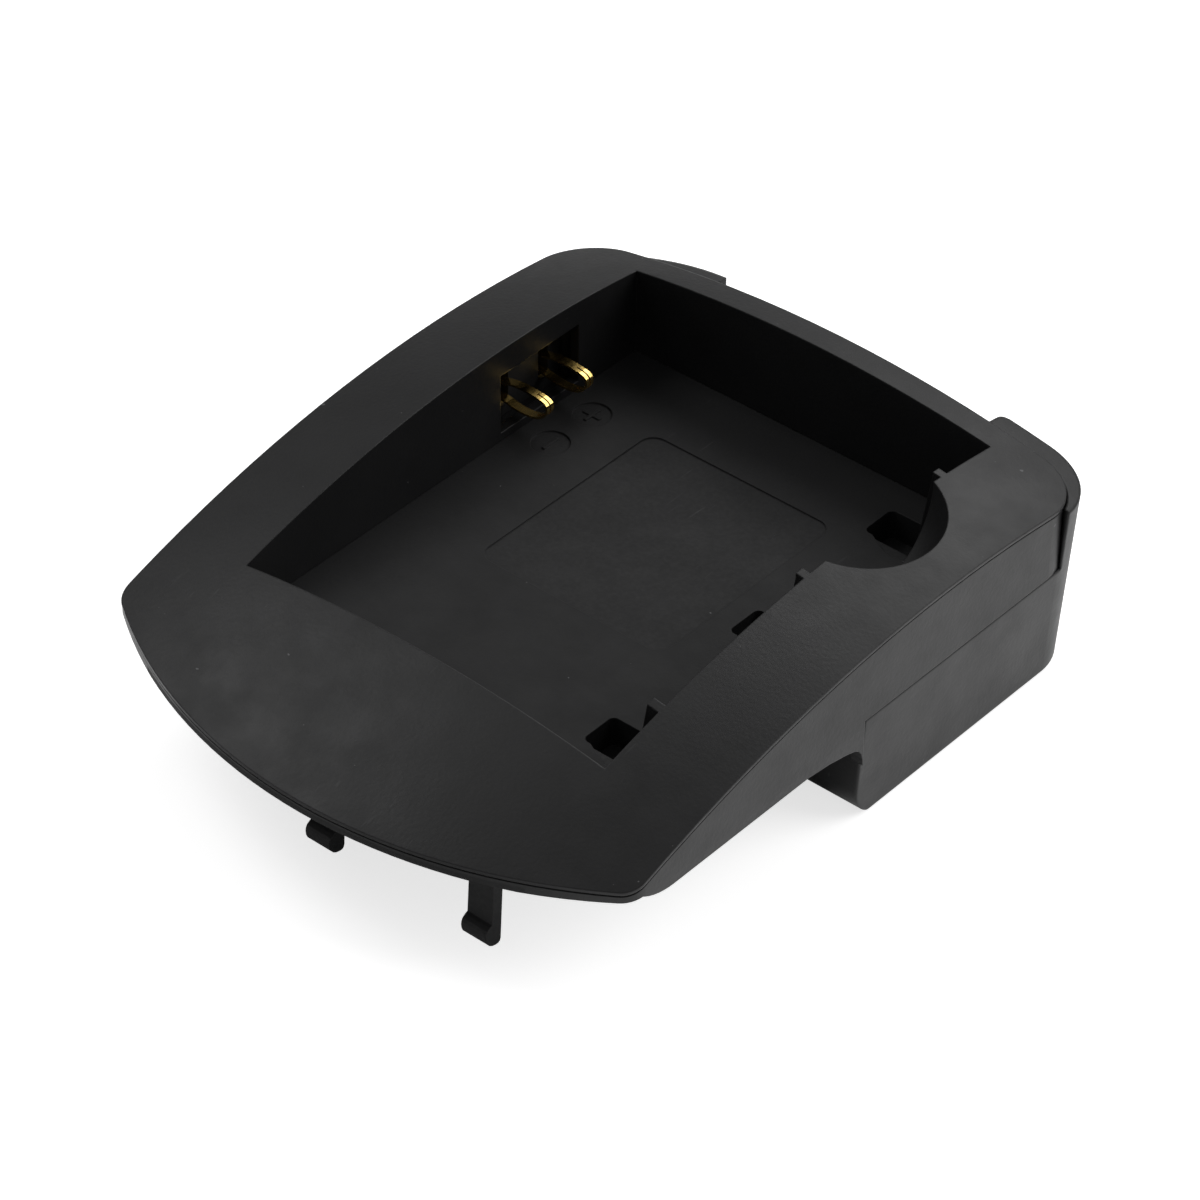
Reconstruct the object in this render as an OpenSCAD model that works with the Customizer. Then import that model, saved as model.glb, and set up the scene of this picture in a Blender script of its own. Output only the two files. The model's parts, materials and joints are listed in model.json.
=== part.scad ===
// Battery charging plate that clips on a charger base. Millimetres, +Z up.
// Origin: centre of the footprint on the surface that the plate rests on. -Y is the thin front edge.

/* [Body] */
// Width over both side walls
body_width = 58.2; // [50:0.2:80]
// Position of the front edge at the middle
front_edge_y = -36.5; // [-50:0.05:-35]
// Position of the back edge of the top shell at the middle
back_edge_y = 33.75; // [33.5:0.05:34.5]
// Radius of the curved front edge, seen from above
front_arc_radius = 50.4; // [45:0.1:60]
// Radius of the slightly curved back edge, seen from above
back_arc_radius = 1500; // [800:50:3000]
// Corner radius at the front, seen from above
front_corner_radius = 2.5; // [2:0.1:2.7]
// Corner radius at the back, seen from above
rear_corner_radius = 5.6; // [4.5:0.1:6]
// Height of the highest point of the top
crown_top = 22.95; // [22:0.05:26]
// Radius of the arch from front to back
arch_radius = 125; // [115:1:160]
// Position of the highest line of the arch
arch_centre_y = 13.8; // [8:0.1:18]
// Radius of the crown from side to side
crown_radius = 135; // [120:1:400]

/* [Battery pocket] */
// Height of the pocket floor
floor_height = 11.4; // [11:0.1:12.5]
// Thickness of the pocket floor
floor_thickness = 0.65; // [0.6:0.05:1]
// Width of the pocket
pocket_width = 40.3; // [36:0.1:42]
// Front wall of the pocket
pocket_front_y = -20.6; // [-22:0.1:-18]
// Back wall of the pocket
pocket_back_y = 30.65; // [29:0.05:30.7]
// Depth of the sunken label area
label_depth = 0.16; // [0.1:0.02:0.3]
// Width of the sunken label area
label_width = 20.9; // [16:0.1:22]
// Length of the sunken label area
label_length = 23.5; // [16:0.1:26]
// Diameter of a polarity disc
disc_diameter = 3.65; // [3:0.05:4.2]
// Depth of a polarity disc
disc_depth = 0.16; // [0.1:0.02:0.3]
// Width of a window in the floor, along Y
window_width = 3.95; // [3:0.05:4.2]
// Length of a window in the floor, along X
window_length = 6.8; // [5:0.1:7]
// Depth of the well under each window
well_depth = 3; // [2:0.1:3.4]
// Thickness of a rib on the right wall
rib_thickness = 0.85; // [0.6:0.05:1.2]
// Reach of a rib at the top edge
rib_reach = 0.85; // [0.6:0.05:1.5]
// Radius of the finger scoop
scoop_radius = 7.9; // [6:0.1:8.2]

/* [Shells] */
// Thickness of the top shell
skin_thickness = 1.3; // [1:0.1:1.5]
// Thickness of the pocket walls
pocket_wall = 1; // [0.8:0.1:1.1]
// Thickness of the lip that covers the side walls
lip_thickness = 0.3; // [0.2:0.05:0.4]
// Height of the shadow gap under the lip
shadow_gap = 0.2; // [0.1:0.02:0.3]
// Thickness of the side walls
side_wall = 1.25; // [1:0.05:1.4]
// Gap between mating shells
shell_gap = 0.06; // [0.04:0.01:0.1]
// Depth of the side skirts under the floor
skirt_depth = 0.3; // [0.2:0.05:0.6]
// Radius of the rounded front end of the skirts
skirt_end_radius = 7; // [5:0.5:9]

/* [Rear block] */
// Front face of the rear block
block_front_y = 2.5; // [1:0.1:4]
// Back face of the rear block, at the height of the seam
block_back_y = 35.6; // [35.4:0.1:36.4]
// Height of the seam between rear block and tray
seam_height = 11.9; // [11.8:0.1:12]
// Inward slope of the walls, in mm for each mm of height
wall_slope = 0.065; // [0.03:0.005:0.08]
// Corner radius of the rear block at the seam
block_corner_radius = 6.3; // [5.8:0.1:6.6]
// Rounding along the bottom edge
bottom_radius = 0.6; // [0.4:0.1:1.2]
// Rounding of the lower front edge
front_bottom_radius = 3.6; // [2:0.1:4]
// Thickness of the rear block's walls and bottom
block_wall = 1.4; // [1.2:0.1:1.6]
// Start of the right ear, measured from the middle
right_ear_start = 17.4; // [12:0.1:20]
// Start of the left ear, measured from the middle
left_ear_start = 13.6; // [12:0.1:18]
// Radius of the left ear, seen from above
left_ear_radius = 20; // [18:0.5:24]
// How far the ears lie below the line of the top
ear_drop = 0.4; // [0.2:0.1:0.8]

/* [Snap hooks] */
// Width of a hook
hook_width = 2.7; // [2:0.1:3.5]
// Height of the lower end of the hooks
hook_bottom = 2.5; // [2:0.1:4]
// Front face of the hook stems
hook_face_y = -31.1; // [-31.5:0.1:-30]
// Thickness of a hook stem
hook_thickness = 1.1; // [0.8:0.1:1.4]
// How far a barb stands forward
hook_barb = 0.95; // [0.6:0.05:1.2]

/* [Contacts] */
// Reach of a contact into the pocket
contact_reach = 3.25; // [2.5:0.05:3.4]
// Width of a contact
contact_width = 0.9; // [0.7:0.05:1.2]
// Thickness of the contact sheet
contact_sheet = 0.2; // [0.15:0.01:0.25]
// Position of the plus contact
plus_y = 20.5; // [19:0.1:21]
// Position of the minus contact
minus_y = 15.1; // [14:0.1:16]
// Clearance around a contact in its slot
contact_clearance = 0.2; // [0.15:0.01:0.3]

/* [Inside] */
// Thickness of the circuit board
board_thickness = 1.2; // [1:0.1:1.6]
// Height of the circuit board's lower face
board_height = 4.6; // [4.4:0.1:5]
// Half width of the circuit board
board_half = 20.2; // [18:0.1:20.2]
// Screw thread diameter for the rear block
screw_diameter = 2; // [1.8:0.1:2.2]
// Pitch of the terminals towards the base
terminal_pitch = 4.2; // [3.8:0.1:4.4]

/* [Hidden] */
$fn = 96;
floor_bottom = floor_height - floor_thickness;
ring_drop = lip_thickness + shadow_gap;
pocket_half = pocket_width / 2;
pocket_right = pocket_half;
pocket_left = -pocket_half;
body_half = body_width / 2;
tongue_inset = side_wall + 0.35;
board_top = board_height + board_thickness;
block_half = body_half - 0.05;
corner_x = block_half - block_corner_radius;
corner_y = block_back_y - block_corner_radius;
window_x = pocket_right - window_length - 0.95;
window_ys = [-14.4, 4.7, 23.35];
skirt_end_y = -22.3;
rib_ys = [-13.05, 5.65, 24.35];
scoop_centre = [pocket_right - 2.65, 15.1, 21];
inner_half = block_half - wall_slope * seam_height - block_wall;
inner_back = block_back_y - wall_slope * seam_height - block_wall;
post_radius = 2.9;
post_xs = [body_half - 4.9, body_half - 5.7];
post_ys = [block_front_y + 5.1, inner_back - 4.03];
rim_room = body_half - side_wall - pocket_half - pocket_wall;
rim_middle = (pocket_half + body_half) / 2;
pad_radius = rim_room * 0.34;
shell_post_radius = rim_room * 0.3;
shell_screw_places = [[body_half - 8.1, pocket_front_y - 4.9], [rim_middle - 0.22, -2],
    [rim_middle - 0.42, 25.4]];
board_screw_x = board_half - 2.9;
board_screw_places = [[-board_screw_x, 25.8], [board_screw_x, 12]];
board_peg_places = [[board_screw_x, 29.2], [-board_screw_x, 9]];
lead_radius = 0.45;
carrier_face = pocket_left - pocket_wall - 1.45;
carrier_back = side_wall + 0.95 - body_half;
carrier_low = minus_y - 3.2;
carrier_high = plus_y + 2.2;
carrier_depth = carrier_face - carrier_back;
peg_x = carrier_face - carrier_depth * 0.23;
peg_ys = [minus_y - 1.9, plus_y + 0.9];
tail_x = carrier_back + carrier_depth * 0.407;
rail_low = floor_height + 1.2;
terminal_y = 11;
pad_top = floor_height + 0.8;
disc_x = pocket_left + 3.45;
disc_ys = [20.5, 14.8];
black = [0.09, 0.09, 0.09];
gilt = [0.85, 0.68, 0.3];
steel = [0.72, 0.72, 0.74];

// Outline of the top seen from above, made smaller by inset on every side.
module plan(inset) {
    half = body_half - inset;
    front_r = front_arc_radius - inset;
    back_r = back_arc_radius - inset;
    front_c = front_edge_y + front_arc_radius;
    back_c = back_edge_y - back_arc_radius;
    rf = max(front_corner_radius - inset, 0.4);
    rb = max(rear_corner_radius - inset, 0.4);
    fx = half - rf;
    bx = half - rb;
    fy = front_c - sqrt(pow(front_r - rf, 2) - fx * fx);
    by = back_c + sqrt(pow(back_r - rb, 2) - bx * bx);
    fu = [fx, fy - front_c] / (front_r - rf) * (rf + 14);
    bu = [bx, by - back_c] / (back_r - rb) * (rb + 4);
    intersection() {
        translate([0, front_c]) circle(r = front_r);
        translate([0, back_c]) circle(r = back_r, $fn = 1440);
        union() {
            polygon([[half, fy], [half, by], [bx, by], [bx, by] + bu, [-bx - bu[0], by + bu[1]], [-bx, by],
                [-half, by], [-half, fy], [-fx, fy], [-fx - fu[0], fy + fu[1]], [fx, fy] + fu, [fx, fy]]);
            for (side = [-1, 1]) {
                translate([side * fx, fy]) circle(r = rf);
                translate([side * bx, by]) circle(r = rb);
            }
        }
    }
}

// The outline as an upright block.
module plan_block(inset, low, high) {
    translate([0, 0, low]) linear_extrude(height = high - low) plan(inset);
}

// Everything under the crowned top, lowered by depth.
module below_crown(depth) {
    translate([0, arch_centre_y, crown_top - arch_radius])
        rotate([0, -90, 0])
            rotate([0, 0, -30])
                rotate_extrude(angle = 50, $fn = 288)
                    intersection() {
                        translate([arch_radius - crown_radius, 0]) circle(r = crown_radius - depth, $fn = 360);
                        translate([arch_radius - 45, -40]) square([60, 80]);
                    }
}

// A box given by two corners.
module box(low, high) {
    translate(low) cube(high - low);
}

// A flat rectangle with round corners, extruded.
module rounded_box(low, high, radius) {
    size = high - low;
    translate(low) linear_extrude(height = size[2]) {
        translate([radius, 0]) square([size[0] - 2 * radius, size[1]]);
        translate([0, radius]) square([size[0], size[1] - 2 * radius]);
        for (x = [radius, size[0] - radius])
            for (y = [radius, size[1] - radius])
                translate([x, y]) circle(r = radius);
    }
}

module upright(place, radius, low, high) {
    translate([place[0], place[1], low]) cylinder(r = radius, h = high - low);
}

// The pocket as an upright block, made larger by reach on every side.
module pocket_block(reach, low, high) {
    box([pocket_left - reach, pocket_front_y - reach, low],
        [pocket_right + reach, pocket_back_y + reach, high]);
}

module both_sides() {
    children();
    mirror([1, 0, 0]) children();
}

// Crowned bezel with the pocket walls, the finger scoop and the ribs.
module top_shell() {
    color(black) {
        difference() {
            union() {
                intersection() {
                    union() {
                        difference() {
                            plan_block(0, floor_height - 2, crown_top + 2);
                            below_crown(lip_thickness);
                        }
                        difference() {
                            plan_block(side_wall + 0.25, floor_height, crown_top + 2);
                            below_crown(skin_thickness);
                        }
                        pocket_block(pocket_wall, floor_height, crown_top + 2);
                    }
                    below_crown(0);
                }
                intersection() {
                    translate(scoop_centre) sphere(r = scoop_radius + 1.2);
                    box([pocket_right, 0, floor_height + 0.1], [body_half - 1.6, 30, crown_top]);
                    below_crown(0.2);
                }
                both_sides() {
                    for (place = shell_screw_places)
                        intersection() {
                            upright(place, shell_post_radius, pad_top + 0.05, crown_top);
                            below_crown(0.5);
                        }
                }
            }
            pocket_block(0, floor_height - 1, crown_top + 3);
            translate(scoop_centre) sphere(r = scoop_radius);
            box([pocket_left - pocket_wall - 1, carrier_low + 0.1, floor_height + 0.9],
                [pocket_left + 1, carrier_high - 0.1, floor_height + 7.2]);
            both_sides() {
                for (place = shell_screw_places)
                    upright(place, 0.95, pad_top - 1, pad_top + 1.6);
            }
        }
        wall_ribs();
    }
}

// Three slim ribs on the right pocket wall, a little wider at the foot.
module wall_ribs() {
    intersection() {
        for (y = rib_ys)
            translate([pocket_right + 0.1, y, floor_height + 0.3])
                rotate([90, 0, 0])
                    linear_extrude(height = rib_thickness)
                        polygon([[0, 0], [-rib_reach - 1.55, 0], [-rib_reach - 0.1, 9],
                            [-rib_reach - 0.1, 12], [0, 12]]);
        below_crown(0);
    }
}

// Side walls, front rim, pocket floor and snap hooks in one moulding.
module battery_tray() {
    color(black) {
        difference() {
            union() {
                tray_walls();
                side_skirts();
                for (y = window_ys)
                    box([window_x - 0.7, y - 0.7, floor_height - well_depth - 0.8],
                        [window_x + window_length + 0.7, y + window_width + 0.7, floor_height - 0.1]);
                both_sides() {
                    for (place = shell_screw_places)
                        upright(place, pad_radius, floor_bottom, pad_top);
                    for (i = [0, 1])
                        upright([post_xs[i], post_ys[i]], 2.1, 8.5, floor_height);
                }
            }
            for (y = window_ys)
                window_well(y);
            label_area();
            for (y = disc_ys)
                upright([disc_x, y], disc_diameter / 2, floor_height - disc_depth, floor_height + 1);
            both_sides() {
                for (place = shell_screw_places) {
                    upright(place, 1.05, floor_bottom - 1, pad_top + 1);
                    translate([place[0], place[1], floor_bottom - 0.01]) cylinder(r1 = 1.8, r2 = 1.05, h = 0.8);
                }
                for (i = [0, 1])
                    upright([post_xs[i], post_ys[i]], screw_diameter / 2 + 0.05, 7, floor_height - 0.25);
            }
            for (y = [plus_y, minus_y])
                box([tail_x - 0.45, y - 0.6, floor_bottom - 1], [tail_x + 0.45, y + 0.6, floor_height + 1]);
            for (y = peg_ys)
                upright([peg_x, y], 0.9, floor_bottom - 1, floor_height + 1);
        }
        polarity_marks();
        for (x = [-1.55, 15.95])
            snap_hook(x);
    }
}

module tray_walls() {
    difference() {
        intersection() {
            union() {
                plan_block(0.05, seam_height + shell_gap / 2, crown_top);
                plan_block(tongue_inset, floor_bottom, seam_height + 1);
                intersection() {
                    plan_block(0.05, floor_bottom, seam_height + 1);
                    box([-40, -60, 0], [40, block_front_y - shell_gap, 30]);
                }
            }
            below_crown(ring_drop);
        }
        difference() {
            plan_block(side_wall, floor_height, crown_top + 1);
            difference() {
                box([-40, 0, 0], [40, 50, seam_height + 1]);
                plan_block(tongue_inset + 1, 0, crown_top);
                pocket_block(pocket_wall + 0.1, 0, crown_top);
                box([-40, carrier_low - 0.4, 0], [0, carrier_high + 0.4, 30]);
            }
        }
        difference() {
            translate([-40, 0, 0]) rotate([90, 0, 90]) linear_extrude(height = 80) under_front_rim();
            plan_block(1, 0, 30);
        }
    }
}

// Side view of what is cut away under the front rim and the rounded front ends of the skirts.
module under_front_rim() {
    difference() {
        polygon([[-50, 5], [-50, floor_bottom + 0.35], [-32, floor_bottom + 0.35], [-26.2, floor_bottom + 0.87],
            [skirt_end_y, floor_bottom + 1.1], [skirt_end_y, 5]]);
        translate([skirt_end_y, floor_bottom - skirt_depth + skirt_end_radius]) circle(r = skirt_end_radius);
    }
}

// Low rails under both side walls, which grow deeper where they meet the rear block.
module side_skirts() {
    low = floor_bottom - skirt_depth;
    end = block_front_y - shell_gap;
    both_sides()
        translate([body_half - 0.05 - side_wall, 0, 0])
            rotate([90, 0, 90])
                linear_extrude(height = side_wall)
                    difference() {
                        polygon([[-26.6, floor_bottom + 0.2], [-26.6, low], [end - 7.4, low],
                            [end - 4.5, low - 0.33], [end - 2.2, low - 0.8], [end - 1.2, low - 1.1],
                            [end - 0.65, low - 1.45], [end - 0.3, low - 1.95], [end - 0.1, low - 2.6],
                            [end, low - 3.4], [end, floor_bottom + 0.2]]);
                        under_front_rim();
                    }
}

module window_well(y) {
    rounded_box([window_x, y, floor_height - well_depth],
        [window_x + window_length, y + window_width, floor_height + 1], 0.6);
    translate([window_x, y, floor_height - 0.35])
        linear_extrude(height = 2)
            polygon([[0.9, 0.5], [0.9, 0], [3.4, -1.25], [window_length, -1.25], [window_length, 0.5]]);
}

module label_area() {
    low = [-0.35 - label_width / 2, 21.9 - label_length, floor_height - label_depth];
    rounded_box(low, low + [label_width, label_length, 1], 1.5);
}

// A plus and a minus sign on the two discs.
module polarity_marks() {
    low = floor_height - disc_depth - 0.02;
    high = floor_height - 0.03;
    box([disc_x - 1, disc_ys[0] - 0.18, low], [disc_x + 1, disc_ys[0] + 0.18, high]);
    box([disc_x - 0.18, disc_ys[0] - 1, low], [disc_x + 0.18, disc_ys[0] + 1, high]);
    box([disc_x - 0.18, disc_ys[1] - 1, low], [disc_x + 0.18, disc_ys[1] + 1, high]);
}

// A flat stem with a rounded barb, which leans slightly forward.
module snap_hook(x) {
    face = -hook_face_y;
    foot = face - hook_thickness;
    nose = face + hook_barb;
    translate([x + hook_width / 2, 0, 0])
        rotate([90, 0, -90])
            linear_extrude(height = hook_width)
                polygon([[face - 0.2, floor_bottom + 0.1], [face + 0.15, hook_bottom + 2.45],
                    [nose - 0.5, hook_bottom + 2.32], [nose - 0.2, hook_bottom + 2.12],
                    [nose - 0.05, hook_bottom + 1.85], [nose, hook_bottom + 1.5],
                    [nose - 0.05, hook_bottom + 1.1], [nose - 0.2, hook_bottom + 0.7],
                    [nose - 0.48, hook_bottom + 0.35], [nose - 0.85, hook_bottom + 0.12],
                    [nose - 1.3, hook_bottom], [foot + 0.5, hook_bottom], [foot + 0.3, hook_bottom + 0.12],
                    [foot + 0.2, hook_bottom + 0.4], [foot - 0.2, floor_bottom + 0.1]]);
}

// Half section of the rear block: sloped wall and rounded bottom edge, reach from the middle.
module block_section(reach, height) {
    wall_at_zero = block_corner_radius - wall_slope * seam_height;
    lean = sqrt(1 + wall_slope * wall_slope);
    cx = reach + wall_at_zero + wall_slope * bottom_radius - bottom_radius * lean;
    union() {
        polygon([[0, 0], [cx, 0], [cx, bottom_radius],
            [cx + bottom_radius / lean, bottom_radius - bottom_radius * wall_slope / lean],
            [reach + wall_at_zero + wall_slope * height, height], [0, height]]);
        translate([cx, bottom_radius]) circle(r = bottom_radius);
    }
}

// The rear block's outside, up to the given height, without its front face.
module block_outside(height) {
    both_sides() {
        translate([0, corner_y, 0])
            rotate([90, 0, 0])
                linear_extrude(height = corner_y + 5)
                    block_section(corner_x, height);
        translate([corner_x, corner_y, 0])
            rotate_extrude(angle = 90)
                block_section(0, height);
    }
    translate([-corner_x, 0, 0])
        rotate([90, 0, 90])
            linear_extrude(height = 2 * corner_x)
                block_section(corner_y, height);
}

// What lies behind the front face, with its rounded lower edge.
module behind_front_face() {
    r = front_bottom_radius;
    translate([-40, 0, 0])
        rotate([90, 0, 90])
            linear_extrude(height = 80) {
                translate([block_front_y, r]) square([60, 40]);
                translate([block_front_y + r, 0]) square([60, 40]);
                translate([block_front_y + r, r]) circle(r = r);
            }
}

module lower_housing() {
    color(black)
        difference() {
            union() {
                difference() {
                    intersection() {
                        block_outside(21.5);
                        behind_front_face();
                        below_crown(ear_drop);
                    }
                    rounded_box([-inner_half, block_front_y + block_wall, block_wall],
                        [inner_half, inner_back, floor_bottom + 0.5], 4.2);
                    plan_block(tongue_inset - 0.1, floor_bottom, 30);
                    above_seam();
                }
                board_supports();
            }
            both_sides() {
                for (i = [0, 1]) {
                    upright([post_xs[i], post_ys[i]], 2.1, -1, 3.4);
                    upright([post_xs[i], post_ys[i]], screw_diameter / 2 + 0.15, 3, 9);
                }
            }
            for (place = board_screw_places)
                upright(place, 0.85, block_wall + 0.4, board_height + 1);
            box([-9, terminal_y - 3, -1], [9, terminal_y + 3, block_wall + 1]);
        }
}

// What is cut away above the seam, so that only the two ears stay behind the rear corners.
module above_seam() {
    plan_block(-shell_gap, seam_height - shell_gap / 2, 30);
    difference() {
        box([-40, -20, seam_height - shell_gap / 2], [40, 50, 30]);
        ear_range(right_ear_start);
        intersection() {
            mirror([1, 0, 0]) ear_range(left_ear_start);
            upright([-14.8, block_back_y - left_ear_radius], left_ear_radius, 0, 40);
        }
    }
}

module ear_range(start) {
    high = block_back_y + 0.43;
    translate([0, 0, seam_height - 1])
        linear_extrude(height = 20) {
            translate([start + 0.7, 29.8]) square([20, 20]);
            translate([start, 29.8]) square([20, high - 0.7 - 29.8]);
            translate([start + 0.7, high - 0.7]) circle(r = 0.7);
        }
}

// Screw posts and pegs that carry the tray and the circuit board.
module board_supports() {
    intersection() {
        union() {
            both_sides() {
                for (i = [0, 1])
                    upright([post_xs[i], post_ys[i]], post_radius, 0.5, 8.45);
            }
            for (place = concat(board_screw_places, board_peg_places))
                upright(place, 2, 0.5, board_height);
            for (place = board_peg_places)
                upright(place, 0.75, 0.5, board_top + 0.6);
        }
        box([-inner_half - 0.07, block_front_y + 0.5, 0.5], [inner_half + 0.07, inner_back - 0.1, 20]);
    }
}

// One round of corner cutting, which makes a closed line of points smoother.
function smoother(points) = [
    for (i = [0 : len(points) - 1])
        let (a = points[i], b = points[(i + 1) % len(points)])
            each [0.75 * a + 0.25 * b, 0.25 * a + 0.75 * b]
];

// The closed line of points moved sideways by reach.
function beside(points, reach) = [
    for (i = [0 : len(points) - 1])
        let (a = points[(i + len(points) - 1) % len(points)], b = points[i], c = points[(i + 1) % len(points)],
            u = (b - a) / norm(b - a), v = (c - b) / norm(c - b), m = [-u[1] - v[1], u[0] + v[0]])
            b + m * reach / (m * [-u[1], u[0]])
];

// Bent contact strip: a closed loop with a split nose.
module contact(y) {
    nose = pocket_left + contact_reach;
    depth = nose - carrier_back - 2.45;
    bends = [[-1, 3.75], [-0.748, 3.87], [-0.464, 4.42], [-0.113, 4.22], [-0.013, 3.95], [0, 3.2], [-0.06, 2.5],
        [-0.172, 1.95], [-0.371, 1.7], [-0.55, 1.78], [-0.695, 2.08], [-1, 2.05]];
    middle = smoother(smoother([for (p = bends) [p[0] * depth, p[1]]]));
    color(gilt)
        difference() {
            translate([nose - contact_sheet / 2, y + contact_width / 2, floor_height])
                rotate([90, 0, 0])
                    linear_extrude(height = contact_width)
                        difference() {
                            polygon(beside(middle, contact_sheet / 2));
                            polygon(beside(middle, -contact_sheet / 2));
                        }
            box([nose - 1.6, y - 0.08, floor_height], [nose + 1, y + 0.08, floor_height + 6]);
        }
}

module contact_positive() {
    contact(plus_y);
}

module contact_negative() {
    contact(minus_y);
}

// Insulating block behind the opening in the left wall.
module contact_carrier() {
    slot = contact_width / 2 + contact_clearance;
    color([0.12, 0.12, 0.12])
        difference() {
            union() {
                box([carrier_back, carrier_low, floor_height + 0.05],
                    [carrier_face, carrier_high, floor_height + 6.6]);
                for (y = peg_ys)
                    upright([peg_x, y], 0.8, floor_bottom - 0.6, floor_height + 1);
            }
            for (y = [plus_y, minus_y]) {
                box([carrier_back - 1, y - slot, rail_low], [carrier_face + 1, y + slot, floor_height + 4.8]);
                box([tail_x - 0.35, y - 0.55, floor_height - 1], [tail_x + 0.35, y + 0.55, floor_height + 2]);
            }
        }
}

module carrier_cover() {
    color([0.12, 0.12, 0.12])
        box([carrier_back - 0.55, carrier_low + 0.3, floor_height + 0.1],
            [carrier_back, carrier_high - 0.3, floor_height + 6.3]);
}

// Fixed gilt rails under the moving contacts, with tails for the leads.
module contact_rails() {
    color(gilt)
        for (y = [plus_y, minus_y]) {
            box([carrier_back + 0.4, y - 0.5, rail_low], [carrier_face - 0.3, y + 0.5, rail_low + 0.3]);
            box([tail_x - 0.3, y - 0.5, floor_height - 1.8], [tail_x + 0.3, y + 0.5, rail_low + 0.1]);
        }
}

// A box round terminal number i, reaching x and y to each side.
module at_terminal(i, x, y, low, high) {
    box([i * terminal_pitch - x, terminal_y - y, low], [i * terminal_pitch + x, terminal_y + y, high]);
}

module circuit_board() {
    color([0.1, 0.3, 0.16])
        difference() {
            rounded_box([-board_half, block_front_y + 3.1, board_height],
                [board_half, inner_back - 2.23, board_top], 1.5);
            both_sides() {
                for (i = [0, 1])
                    upright([post_xs[i], post_ys[i]], post_radius + 0.25, 0, 10);
            }
            for (place = board_screw_places)
                upright(place, 1, 0, 10);
            for (place = board_peg_places)
                upright(place, 0.85, 0, 10);
            for (i = [-1.5 : 1 : 1.5])
                at_terminal(i, 0.4, 0.4, 0, 10);
        }
}

module controller_chip() {
    color([0.15, 0.15, 0.16]) {
        box([-6.5, 17.2, board_top + 0.12], [-1.5, 21.2, board_top + 1.5]);
        for (side = [-1, 1])
            for (i = [-1.5 : 1 : 1.5])
                box([-4 + i * 1.27 - 0.2, 19.2 + side * 2.6 - 0.65, board_top],
                    [-4 + i * 1.27 + 0.2, 19.2 + side * 2.6 + 0.65, board_top + 0.5]);
    }
}

module power_transistor() {
    color([0.16, 0.16, 0.17]) {
        box([9, 17, board_top + 0.1], [13, 20.6, board_top + 1.3]);
        box([9.6, 16.2, board_top], [10.2, 17.2, board_top + 0.6]);
        box([11.8, 16.2, board_top], [12.4, 17.2, board_top + 0.6]);
        box([9.6, 20.4, board_top], [12.4, 21.5, board_top + 0.6]);
    }
}

module power_inductor() {
    color([0.28, 0.27, 0.26]) {
        box([1.4, 22.6, board_top], [8.2, 29.4, board_top + 0.7]);
        upright([4.8, 26], 3.3, board_top + 0.6, board_top + 1.2);
        upright([4.8, 26], 2.6, board_top + 1.1, board_top + 3);
        upright([4.8, 26], 3.3, board_top + 2.9, board_top + 3.6);
    }
}

module bulk_capacitors() {
    color([0.75, 0.75, 0.77])
        for (y = [13.2, 18.2]) {
            box([-13.15, y - 2.15, board_top], [-8.85, y + 2.15, board_top + 0.6]);
            difference() {
                upright([-11, y], 2, board_top + 0.5, floor_bottom - 0.65);
                translate([-11, y, board_top + 1.1])
                    rotate_extrude()
                        translate([2.15, 0]) circle(r = 0.3, $fn = 24);
            }
        }
}

module small_part(x, y, size) {
    box([x - size[0] / 2, y - size[1] / 2, board_top], [x + size[0] / 2, y + size[1] / 2, board_top + size[2]]);
}

module chip_capacitors() {
    color([0.66, 0.55, 0.4])
        for (place = [[-6, 24.4], [-3, 24.4], [-8, 9], [14.2, 22], [0.4, 20]])
            small_part(place[0], place[1], [1.6, 0.8, 0.8]);
}

module chip_resistors() {
    color([0.1, 0.1, 0.11])
        for (place = [[-6, 26.6], [-3, 26.6], [-6, 28.4], [-3, 28.4], [6.4, 20], [6.4, 18.2]])
            small_part(place[0], place[1], [1.6, 0.8, 0.5]);
}

module board_diodes() {
    color([0.13, 0.13, 0.13])
        for (x = [3, 9])
            union() {
                box([x - 2.1, 12.6, board_top + 0.15], [x + 2.1, 15.2, board_top + 2]);
                box([x - 2.6, 13.2, board_top], [x + 2.6, 14.6, board_top + 0.5]);
            }
}

module board_fuse() {
    color([0.85, 0.82, 0.7])
        small_part(-14, 8, [3.2, 1.6, 0.9]);
}

module temperature_sensor() {
    color([0.2, 0.16, 0.12]) {
        upright([-13.4, 24.6], 1.1, board_top + 2, floor_bottom - 0.2);
        for (x = [-0.55, 0.55])
            upright([-13.4 + x, 24.6], 0.25, board_top, board_top + 2.5);
    }
}

// Insulating block with the four terminals for the charger base.
module terminal_carrier() {
    color([0.13, 0.13, 0.13])
        difference() {
            union() {
                box([-8.8, terminal_y - 2.8, 0.6], [8.8, terminal_y + 2.8, 3]);
                box([-10.2, terminal_y - 4, block_wall], [10.2, terminal_y + 4, 2.5]);
            }
            for (i = [-1.5 : 1 : 1.5])
                at_terminal(i, 0.35, 0.35, 0, 5);
            for (i = [-1.5 : 1 : 1.5])
                at_terminal(i, 1.3, 2.3, 0, 0.8);
        }
}

module terminal_plates() {
    color(gilt)
        for (i = [-1.5 : 1 : 1.5])
            union() {
                at_terminal(i, 1.2, 2.2, 0.5, 0.8);
                at_terminal(i, 0.3, 0.3, 0.7, board_top + 0.5);
            }
}

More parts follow.
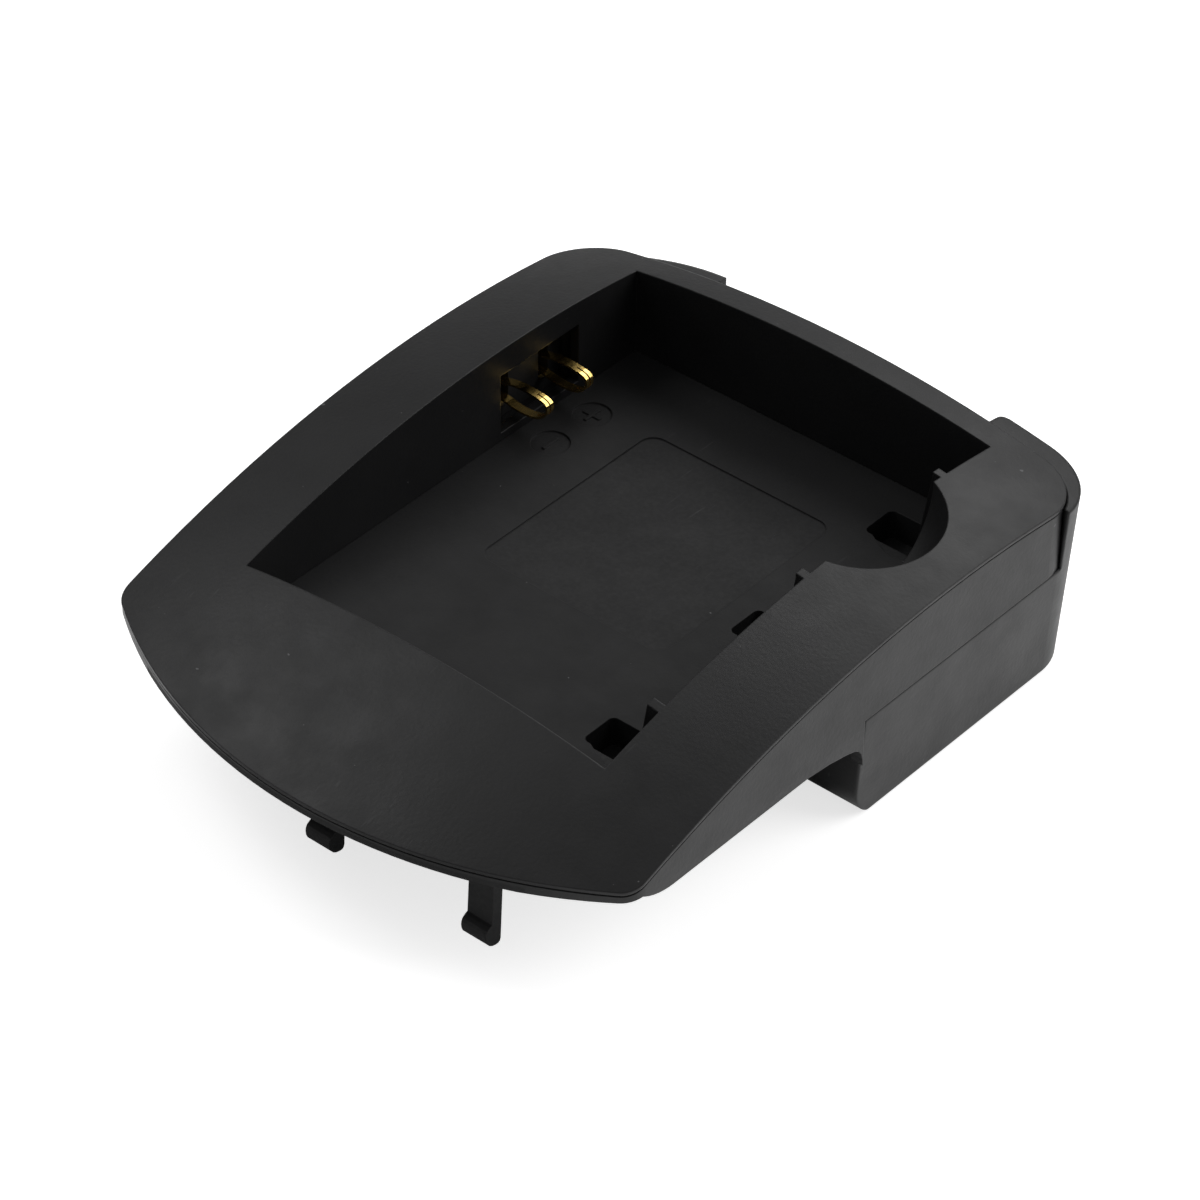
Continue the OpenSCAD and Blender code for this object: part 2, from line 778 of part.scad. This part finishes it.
// Round lead from the tail of a rail down to the board, with two bends.
module lead(start, end, level) {
    bend = 0.9;
    run = end - start;
    length = norm([run[0], run[1]]);
    translate([start[0], start[1], 0])
        rotate([0, 0, atan2(run[1], run[0])]) {
            translate([0, 0, level + bend]) cylinder(r = lead_radius, h = start[2] - level - bend);
            translate([bend, 0, level + bend]) rotate([90, 0, 0]) rotate([0, 0, 180]) lead_bend(bend);
            translate([bend, 0, level]) rotate([0, 90, 0]) cylinder(r = lead_radius, h = length - 2 * bend);
            translate([length - bend, 0, level - bend]) rotate([90, 0, 0]) lead_bend(bend);
            translate([length, 0, end[2]]) cylinder(r = lead_radius, h = level - bend - end[2]);
        }
}

module lead_bend(bend) {
    rotate_extrude(angle = 90) translate([bend, 0]) circle(r = lead_radius, $fn = 32);
}

module wire_positive() {
    color([0.7, 0.08, 0.06])
        lead([tail_x, plus_y, floor_height - 1.8], [0.1 - board_screw_x, 23, board_top], floor_height - 3.9);
}

module wire_negative() {
    color([0.06, 0.06, 0.06])
        lead([tail_x, minus_y, floor_height - 1.8], [0.1 - board_screw_x, 12.6, board_top], floor_height - 3.9);
}

module solder_joints() {
    color(steel)
        for (i = [-1.5 : 1 : 1.5])
            difference() {
                translate([i * terminal_pitch, terminal_y, board_top]) cylinder(r1 = 0.95, r2 = 0.6, h = 0.4);
                at_terminal(i, 0.3, 0.3, 0, 10);
            }
}

module cross_recess(place, low, high, size) {
    box([place[0] - size, place[1] - 0.2, low], [place[0] + size, place[1] + 0.2, high]);
    box([place[0] - 0.2, place[1] - size, low], [place[0] + 0.2, place[1] + size, high]);
}

// Countersunk screws that hold the top shell to the tray.
module shell_screws() {
    color(steel)
        both_sides() {
            for (place = shell_screw_places)
                difference() {
                    union() {
                        translate([place[0], place[1], floor_bottom + 0.05])
                            cylinder(r1 = 1.7, r2 = 0.95, h = 0.75);
                        upright(place, 0.9, floor_bottom + 0.5, pad_top + 1.4);
                    }
                    cross_recess(place, floor_bottom - 1, floor_bottom + 0.5, 0.9);
                }
        }
}

module housing_screws() {
    color(steel)
        both_sides() {
            for (i = [0, 1])
                difference() {
                    union() {
                        upright([post_xs[i], post_ys[i]], 1.8, 2.2, 3.4);
                        upright([post_xs[i], post_ys[i]], screw_diameter / 2, 3.3, floor_height - 0.5);
                    }
                    cross_recess([post_xs[i], post_ys[i]], 1, 2.8, 1.1);
                }
        }
}

module board_screws() {
    color(steel)
        for (place = board_screw_places)
            difference() {
                union() {
                    upright(place, 1.7, board_top, board_top + 1);
                    upright(place, 0.8, block_wall + 0.6, board_top + 0.1);
                }
                cross_recess(place, board_top + 0.5, board_top + 2, 1);
            }
}

top_shell();
battery_tray();
lower_housing();
contact_positive();
contact_negative();
contact_carrier();
carrier_cover();
contact_rails();
circuit_board();
controller_chip();
power_transistor();
power_inductor();
bulk_capacitors();
chip_capacitors();
chip_resistors();
board_diodes();
board_fuse();
temperature_sensor();
terminal_carrier();
terminal_plates();
wire_positive();
wire_negative();
solder_joints();
shell_screws();
housing_screws();
board_screws();
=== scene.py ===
import bpy
import json
import math
from mathutils import Matrix, Vector

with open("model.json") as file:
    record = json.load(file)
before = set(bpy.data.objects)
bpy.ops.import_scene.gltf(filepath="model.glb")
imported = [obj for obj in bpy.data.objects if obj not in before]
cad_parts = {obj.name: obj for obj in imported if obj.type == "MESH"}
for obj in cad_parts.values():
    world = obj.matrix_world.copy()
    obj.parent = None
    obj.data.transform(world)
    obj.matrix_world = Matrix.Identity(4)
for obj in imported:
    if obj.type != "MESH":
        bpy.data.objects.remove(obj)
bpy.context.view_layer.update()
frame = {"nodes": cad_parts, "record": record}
nodes = frame["nodes"]
mounts = {mount["name"]: mount for mount in frame["record"]["mounts"]}
scene = bpy.context.scene
scene.view_settings.view_transform = "Standard"

# Radius, in metres, to which the shading rounds the edges of each moulding.
SHELL_EDGE = 0.00018
TRAY_EDGE = 0.00012
HOUSING_EDGE = 0.00045

# The tray's finish, in metres, with heights from the pocket's floor. Between the pocket's side walls it is
# matt up to MATT_TOP, and everything below MOTTLE_TOP is mottled.
MATT_TOP = 0.0003
MATT_HALF_WIDTH = 0.0213
MATT_FADE = 0.0001
MOTTLE_TOP = -0.00009
MOTTLE_FADE = 0.00003

# Plastic: a very dark grey with a soft sheen.
SHELL_TONE = (0.009, 0.009, 0.0094)
DUST_TONE = (0.16, 0.16, 0.165)
SCUFF_TONE = (0.13, 0.13, 0.133)
SHELL_ROUGH = 0.42
FLOOR_ROUGH = 0.68
GLOSS = 0.29

# How fine each pattern in the plastic is: about so many marks to the metre. The scratches run one way, which
# SCRATCH_TURN gives in radians.
WEAR_AREAS = 70
TONE_CLOUDS = 90
SHEEN_CLOUDS = 220
DUST_SPECKS = 1500
MOTTLE = 2200
GRAIN = 2600
SCRATCHES = (2400, 160, 900)
SCRATCH_TURN = (0.2, 0.3, 0.5)

# Studio: strength of the sky and of the floor's own light. Reflections see that light only beside the object,
# at these distances from its middle in metres, as a painted reflection that brightens the side walls; near
# the object it is left out, as painted shade for the floor in its shadow. The panels' power is in watts.
SKY = 0.3
FLOOR_SIZE = 6
FLOOR_LIFT = 0.7
FLOOR_MIRRORED = 0.66
MIRRORED_FROM = 0.024
MIRRORED_FULLY = 0.03
LIGHT_AIM = (0, 0, 0.01)
PANELS = {
    "back panel": {"place": (-0.22, 0.88, 0.94), "side": 0.75, "power": 5.3},
    "left panel": {"place": (-0.95, -0.15, 1.2), "side": 0.7, "power": 4.6},
    "right panel": {"place": (0.82, 0.68, 0.72), "side": 0.9, "power": 6.8},
}

# Camera: the photograph's place and angle, in metres and degrees, with lens and sensor in millimetres.
CAMERA_PLACE = (0.2189, -0.25513, 0.27988)
CAMERA_AZIMUTH = 40.38
CAMERA_ELEVATION = 38.65
CAMERA_ROLL = 0.592
CAMERA_LENS = 149.64
CAMERA_SENSOR = 36


def material(name):
    mat = bpy.data.materials.new(name)
    mat.use_nodes = True
    tree = mat.node_tree
    tree.nodes.clear()
    out = tree.nodes.new("ShaderNodeOutputMaterial")
    shader = tree.nodes.new("ShaderNodeBsdfPrincipled")
    tree.links.new(shader.outputs["BSDF"], out.inputs["Surface"])
    return mat, tree, shader


def place(tree):
    """Object coordinates, in metres."""
    return tree.nodes.new("ShaderNodeTexCoord").outputs["Object"]


def axis(tree, vector, letter):
    """The part of the vector along X, Y or Z."""
    node = tree.nodes.new("ShaderNodeSeparateXYZ")
    tree.links.new(vector, node.inputs["Vector"])
    return node.outputs[letter]


def stretch(tree, vector, scale, turn):
    node = tree.nodes.new("ShaderNodeMapping")
    node.inputs["Scale"].default_value = scale
    node.inputs["Rotation"].default_value = turn
    tree.links.new(vector, node.inputs["Vector"])
    return node.outputs["Vector"]


def noise(tree, vector, scale, detail=3, rough=0.55):
    node = tree.nodes.new("ShaderNodeTexNoise")
    node.inputs["Scale"].default_value = scale
    node.inputs["Detail"].default_value = detail
    node.inputs["Roughness"].default_value = rough
    tree.links.new(vector, node.inputs["Vector"])
    return node.outputs["Fac"]


def remap(tree, value, low, high, out_low=0, out_high=1):
    """Take low to high over to out_low to out_high, and stop at both ends."""
    node = tree.nodes.new("ShaderNodeMapRange")
    node.clamp = True
    names = ("From Min", "From Max", "To Min", "To Max")
    for name, number in zip(names, (low, high, out_low, out_high)):
        node.inputs[name].default_value = number
    tree.links.new(value, node.inputs["Value"])
    return node.outputs["Result"]


def maths(tree, kind, a, b):
    node = tree.nodes.new("ShaderNodeMath")
    node.operation = kind
    for socket, value in zip(node.inputs, (a, b)):
        if isinstance(value, (int, float)):
            socket.default_value = value
        else:
            tree.links.new(value, socket)
    return node.outputs[0]


def blend(tree, factor, a, b):
    node = tree.nodes.new("ShaderNodeMix")
    node.data_type = "RGBA"
    tree.links.new(factor, node.inputs[0])
    for socket, colour in ((node.inputs[6], a), (node.inputs[7], b)):
        if isinstance(colour, tuple):
            socket.default_value = (*colour, 1)
        else:
            tree.links.new(colour, socket)
    return node.outputs[2]


def shades(colour, darker, lighter):
    """The colour at both ends of a soft variation."""
    return tuple(c * darker for c in colour), tuple(min(1, c * lighter) for c in colour)


def bump(tree, height, strength, distance, normal=None):
    node = tree.nodes.new("ShaderNodeBump")
    node.inputs["Strength"].default_value = strength
    node.inputs["Distance"].default_value = distance
    tree.links.new(height, node.inputs["Height"])
    if normal is not None:
        tree.links.new(normal, node.inputs["Normal"])
    return node.outputs["Normal"]


def soft_edges(tree, radius):
    node = tree.nodes.new("ShaderNodeBevel")
    node.samples = 8
    node.inputs["Radius"].default_value = radius
    return node.outputs["Normal"]


def worn_colour(tree, xyz, tone):
    """The plastic's tone, a little uneven, with a few dust specks and with faint scuffs in some areas."""
    dark, light = shades(tone, 0.86, 1.16)
    colour = blend(tree, remap(tree, noise(tree, xyz, TONE_CLOUDS), 0.35, 0.65), dark, light)
    specks = remap(tree, noise(tree, xyz, DUST_SPECKS, 1, 0.4), 0.815, 0.835, 0, 0.5)
    colour = blend(tree, specks, colour, DUST_TONE)
    streaks = noise(tree, stretch(tree, xyz, SCRATCHES, SCRATCH_TURN), 1, 2, 0.5)
    area = remap(tree, noise(tree, xyz, WEAR_AREAS, 2), 0.58, 0.68)
    scuffs = maths(tree, "MULTIPLY", remap(tree, streaks, 0.68, 0.74, 0, 0.12), area)
    return blend(tree, scuffs, colour, SCUFF_TONE)


def pocket_roughness(tree, xyz, patchy):
    """Make the pocket's floor more matt than the rest, and mottle the tray below it, sunken areas too."""
    pocket_floor = mounts["pocket_floor"]["pos_m"][2]
    matt_top = pocket_floor + MATT_TOP
    mottle_top = pocket_floor + MOTTLE_TOP
    height = axis(tree, xyz, "Z")
    across = maths(tree, "ABSOLUTE", axis(tree, xyz, "X"), 0)
    inside = remap(tree, across, MATT_HALF_WIDTH - MATT_FADE, MATT_HALF_WIDTH + MATT_FADE, 1, 0)
    matt = remap(tree, height, matt_top - MATT_FADE, matt_top + MATT_FADE, FLOOR_ROUGH - SHELL_ROUGH, 0)
    patchy = maths(tree, "ADD", patchy, maths(tree, "MULTIPLY", matt, inside))
    sunken = remap(tree, height, mottle_top - MOTTLE_FADE, mottle_top + MOTTLE_FADE, 1, 0)
    mottle = remap(tree, noise(tree, xyz, MOTTLE, 4, 0.7), 0.4, 0.62, 0, -0.07)
    return maths(tree, "ADD", patchy, maths(tree, "MULTIPLY", mottle, sunken))


def shell_plastic(name, edge, has_pocket=False):
    """Fine-grained dark plastic, a little worn, with edges that look rounded."""
    mat, tree, shader = material(name)
    xyz = place(tree)
    tree.links.new(worn_colour(tree, xyz, SHELL_TONE), shader.inputs["Base Color"])
    clouds = noise(tree, xyz, SHEEN_CLOUDS, 6, 0.65)
    patchy = remap(tree, clouds, 0.35, 0.65, SHELL_ROUGH - 0.035, SHELL_ROUGH + 0.045)
    if has_pocket:
        patchy = pocket_roughness(tree, xyz, patchy)
    tree.links.new(patchy, shader.inputs["Roughness"])
    shader.inputs["Specular IOR Level"].default_value = GLOSS
    grain = noise(tree, xyz, GRAIN, 2, 0.5)
    tree.links.new(bump(tree, grain, 0.25, 0.00006, soft_edges(tree, edge)), shader.inputs["Normal"])
    return mat


def plain_material(name, colour, rough, metallic=0.0, variation=0.12):
    """An even surface whose colour and roughness vary a little, with a fine grain."""
    mat, tree, shader = material(name)
    xyz = place(tree)
    dark, light = shades(colour, 1 - variation, 1 + variation)
    tone = remap(tree, noise(tree, xyz, 300), 0.3, 0.7)
    tree.links.new(blend(tree, tone, dark, light), shader.inputs["Base Color"])
    patchy = remap(tree, noise(tree, xyz, 500), 0.3, 0.7, rough - 0.06, rough + 0.08)
    tree.links.new(patchy, shader.inputs["Roughness"])
    shader.inputs["Metallic"].default_value = metallic
    tree.links.new(bump(tree, noise(tree, xyz, 1500, 2), 0.15, 0.00005), shader.inputs["Normal"])
    return mat


def dress(subparts):
    """Give every piece the material of its slot, or its own."""
    slots = {
        "shell_plastic": shell_plastic("shell plastic", SHELL_EDGE),
        # Inner plastic: a black plastic, made darker than the shell plastic; the extra darkness is painted
        # shade on the contact carriers in the wall's openings.
        "inner_plastic": plain_material("inner plastic", (0.003, 0.003, 0.0032), 0.6),
        "contact_gilt": plain_material("contact gilt", (0.86, 0.6, 0.19), 0.22, 1.0, 0.1),
        "board_green": plain_material("board lacquer", (0.03, 0.14, 0.06), 0.35),
        "chip_black": plain_material("chip resin", (0.02, 0.02, 0.022), 0.55),
        "sensor_resin": plain_material("sensor resin", (0.05, 0.03, 0.02), 0.3),
        "core_grey": plain_material("core grey", (0.08, 0.078, 0.075), 0.6),
        "capacitor_can": plain_material("capacitor can", (0.7, 0.7, 0.72), 0.3, 1.0),
        "capacitor_tan": plain_material("capacitor ceramic", (0.42, 0.3, 0.18), 0.5),
        "fuse_cream": plain_material("fuse ceramic", (0.7, 0.66, 0.5), 0.5),
        "lead_red": plain_material("lead red", (0.5, 0.02, 0.02), 0.4),
        "lead_black": plain_material("lead black", (0.02, 0.02, 0.02), 0.4),
        "solder_grey": plain_material("solder", (0.62, 0.62, 0.64), 0.25, 1.0),
        "screw_steel": plain_material("screw zinc", (0.62, 0.62, 0.65), 0.32, 1.0),
    }
    own = {
        "lower_housing": shell_plastic("housing plastic", HOUSING_EDGE),
        "battery_tray": shell_plastic("tray plastic", TRAY_EDGE, has_pocket=True),
    }
    for part in subparts:
        mesh = nodes[part["node"]].data
        mesh.materials.clear()
        mesh.materials.append(own.get(part["node"], slots[part["material_slot"]]))


def floor_lift(tree):
    """The floor's own light, which the camera sees everywhere and reflections only beside the object."""
    path = tree.nodes.new("ShaderNodeLightPath").outputs
    across = maths(tree, "ABSOLUTE", axis(tree, place(tree), "X"), 0)
    # Painted light: the glow that reflections see beside the object is a painted reflection for the side
    # walls, and leaving it out near the object paints shade for the floor in the object's shadow.
    beside = remap(tree, across, MIRRORED_FROM, MIRRORED_FULLY)
    mirrored = maths(tree, "MAXIMUM", path["Is Glossy Ray"], path["Is Transmission Ray"])
    mirrored = maths(tree, "MULTIPLY", maths(tree, "MULTIPLY", mirrored, beside), FLOOR_MIRRORED)
    return maths(tree, "MAXIMUM", maths(tree, "MULTIPLY", path["Is Camera Ray"], FLOOR_LIFT), mirrored)


def pale_floor():
    """A plain pale surface that takes the object's shadow."""
    bpy.ops.mesh.primitive_plane_add(size=FLOOR_SIZE, location=(0, 0, 0))
    floor = bpy.context.object
    floor.name = "floor"
    mat, tree, shader = material("floor")
    tint = remap(tree, noise(tree, place(tree), 20), 0.3, 0.7)
    tree.links.new(blend(tree, tint, (0.88, 0.88, 0.88), (0.9, 0.9, 0.9)), shader.inputs["Base Color"])
    shader.inputs["Roughness"].default_value = 0.9
    shader.inputs["Emission Color"].default_value = (1, 1, 1, 1)
    tree.links.new(floor_lift(tree), shader.inputs["Emission Strength"])
    floor.data.materials.append(mat)


def white_sky():
    world = bpy.data.worlds.new("studio")
    scene.world = world
    world.use_nodes = True
    tree = world.node_tree
    tree.nodes.clear()
    out = tree.nodes.new("ShaderNodeOutputWorld")
    plain = tree.nodes.new("ShaderNodeBackground")
    plain.inputs["Color"].default_value = (1, 1, 1, 1)
    plain.inputs["Strength"].default_value = SKY
    tree.links.new(plain.outputs[0], out.inputs["Surface"])


def soft_panel(name, position, side, power):
    data = bpy.data.lights.new(name, "AREA")
    data.shape = "SQUARE"
    data.size = side
    data.energy = power
    light = bpy.data.objects.new(name, data)
    scene.collection.objects.link(light)
    light.location = position
    aim = Vector(LIGHT_AIM) - Vector(position)
    light.rotation_euler = aim.to_track_quat("-Z", "Y").to_euler()


def photo_camera():
    data = bpy.data.cameras.new("camera")
    data.sensor_width = CAMERA_SENSOR
    data.lens = CAMERA_LENS
    data.clip_start = 0.01
    camera = bpy.data.objects.new("camera", data)
    scene.collection.objects.link(camera)
    camera.location = CAMERA_PLACE
    azimuth = math.radians(CAMERA_AZIMUTH)
    elevation = math.radians(CAMERA_ELEVATION)
    from_object = Vector((math.sin(azimuth) * math.cos(elevation),
                          -math.cos(azimuth) * math.cos(elevation),
                          math.sin(elevation)))
    level = (-from_object).to_track_quat("-Z", "Y").to_matrix()
    roll = Matrix.Rotation(math.radians(CAMERA_ROLL), 3, "Z")
    camera.rotation_euler = (level @ roll).to_euler()
    scene.camera = camera


dress(frame["record"]["subparts"])
pale_floor()
white_sky()
for name, panel in PANELS.items():
    soft_panel(name, panel["place"], panel["side"], panel["power"])
photo_camera()
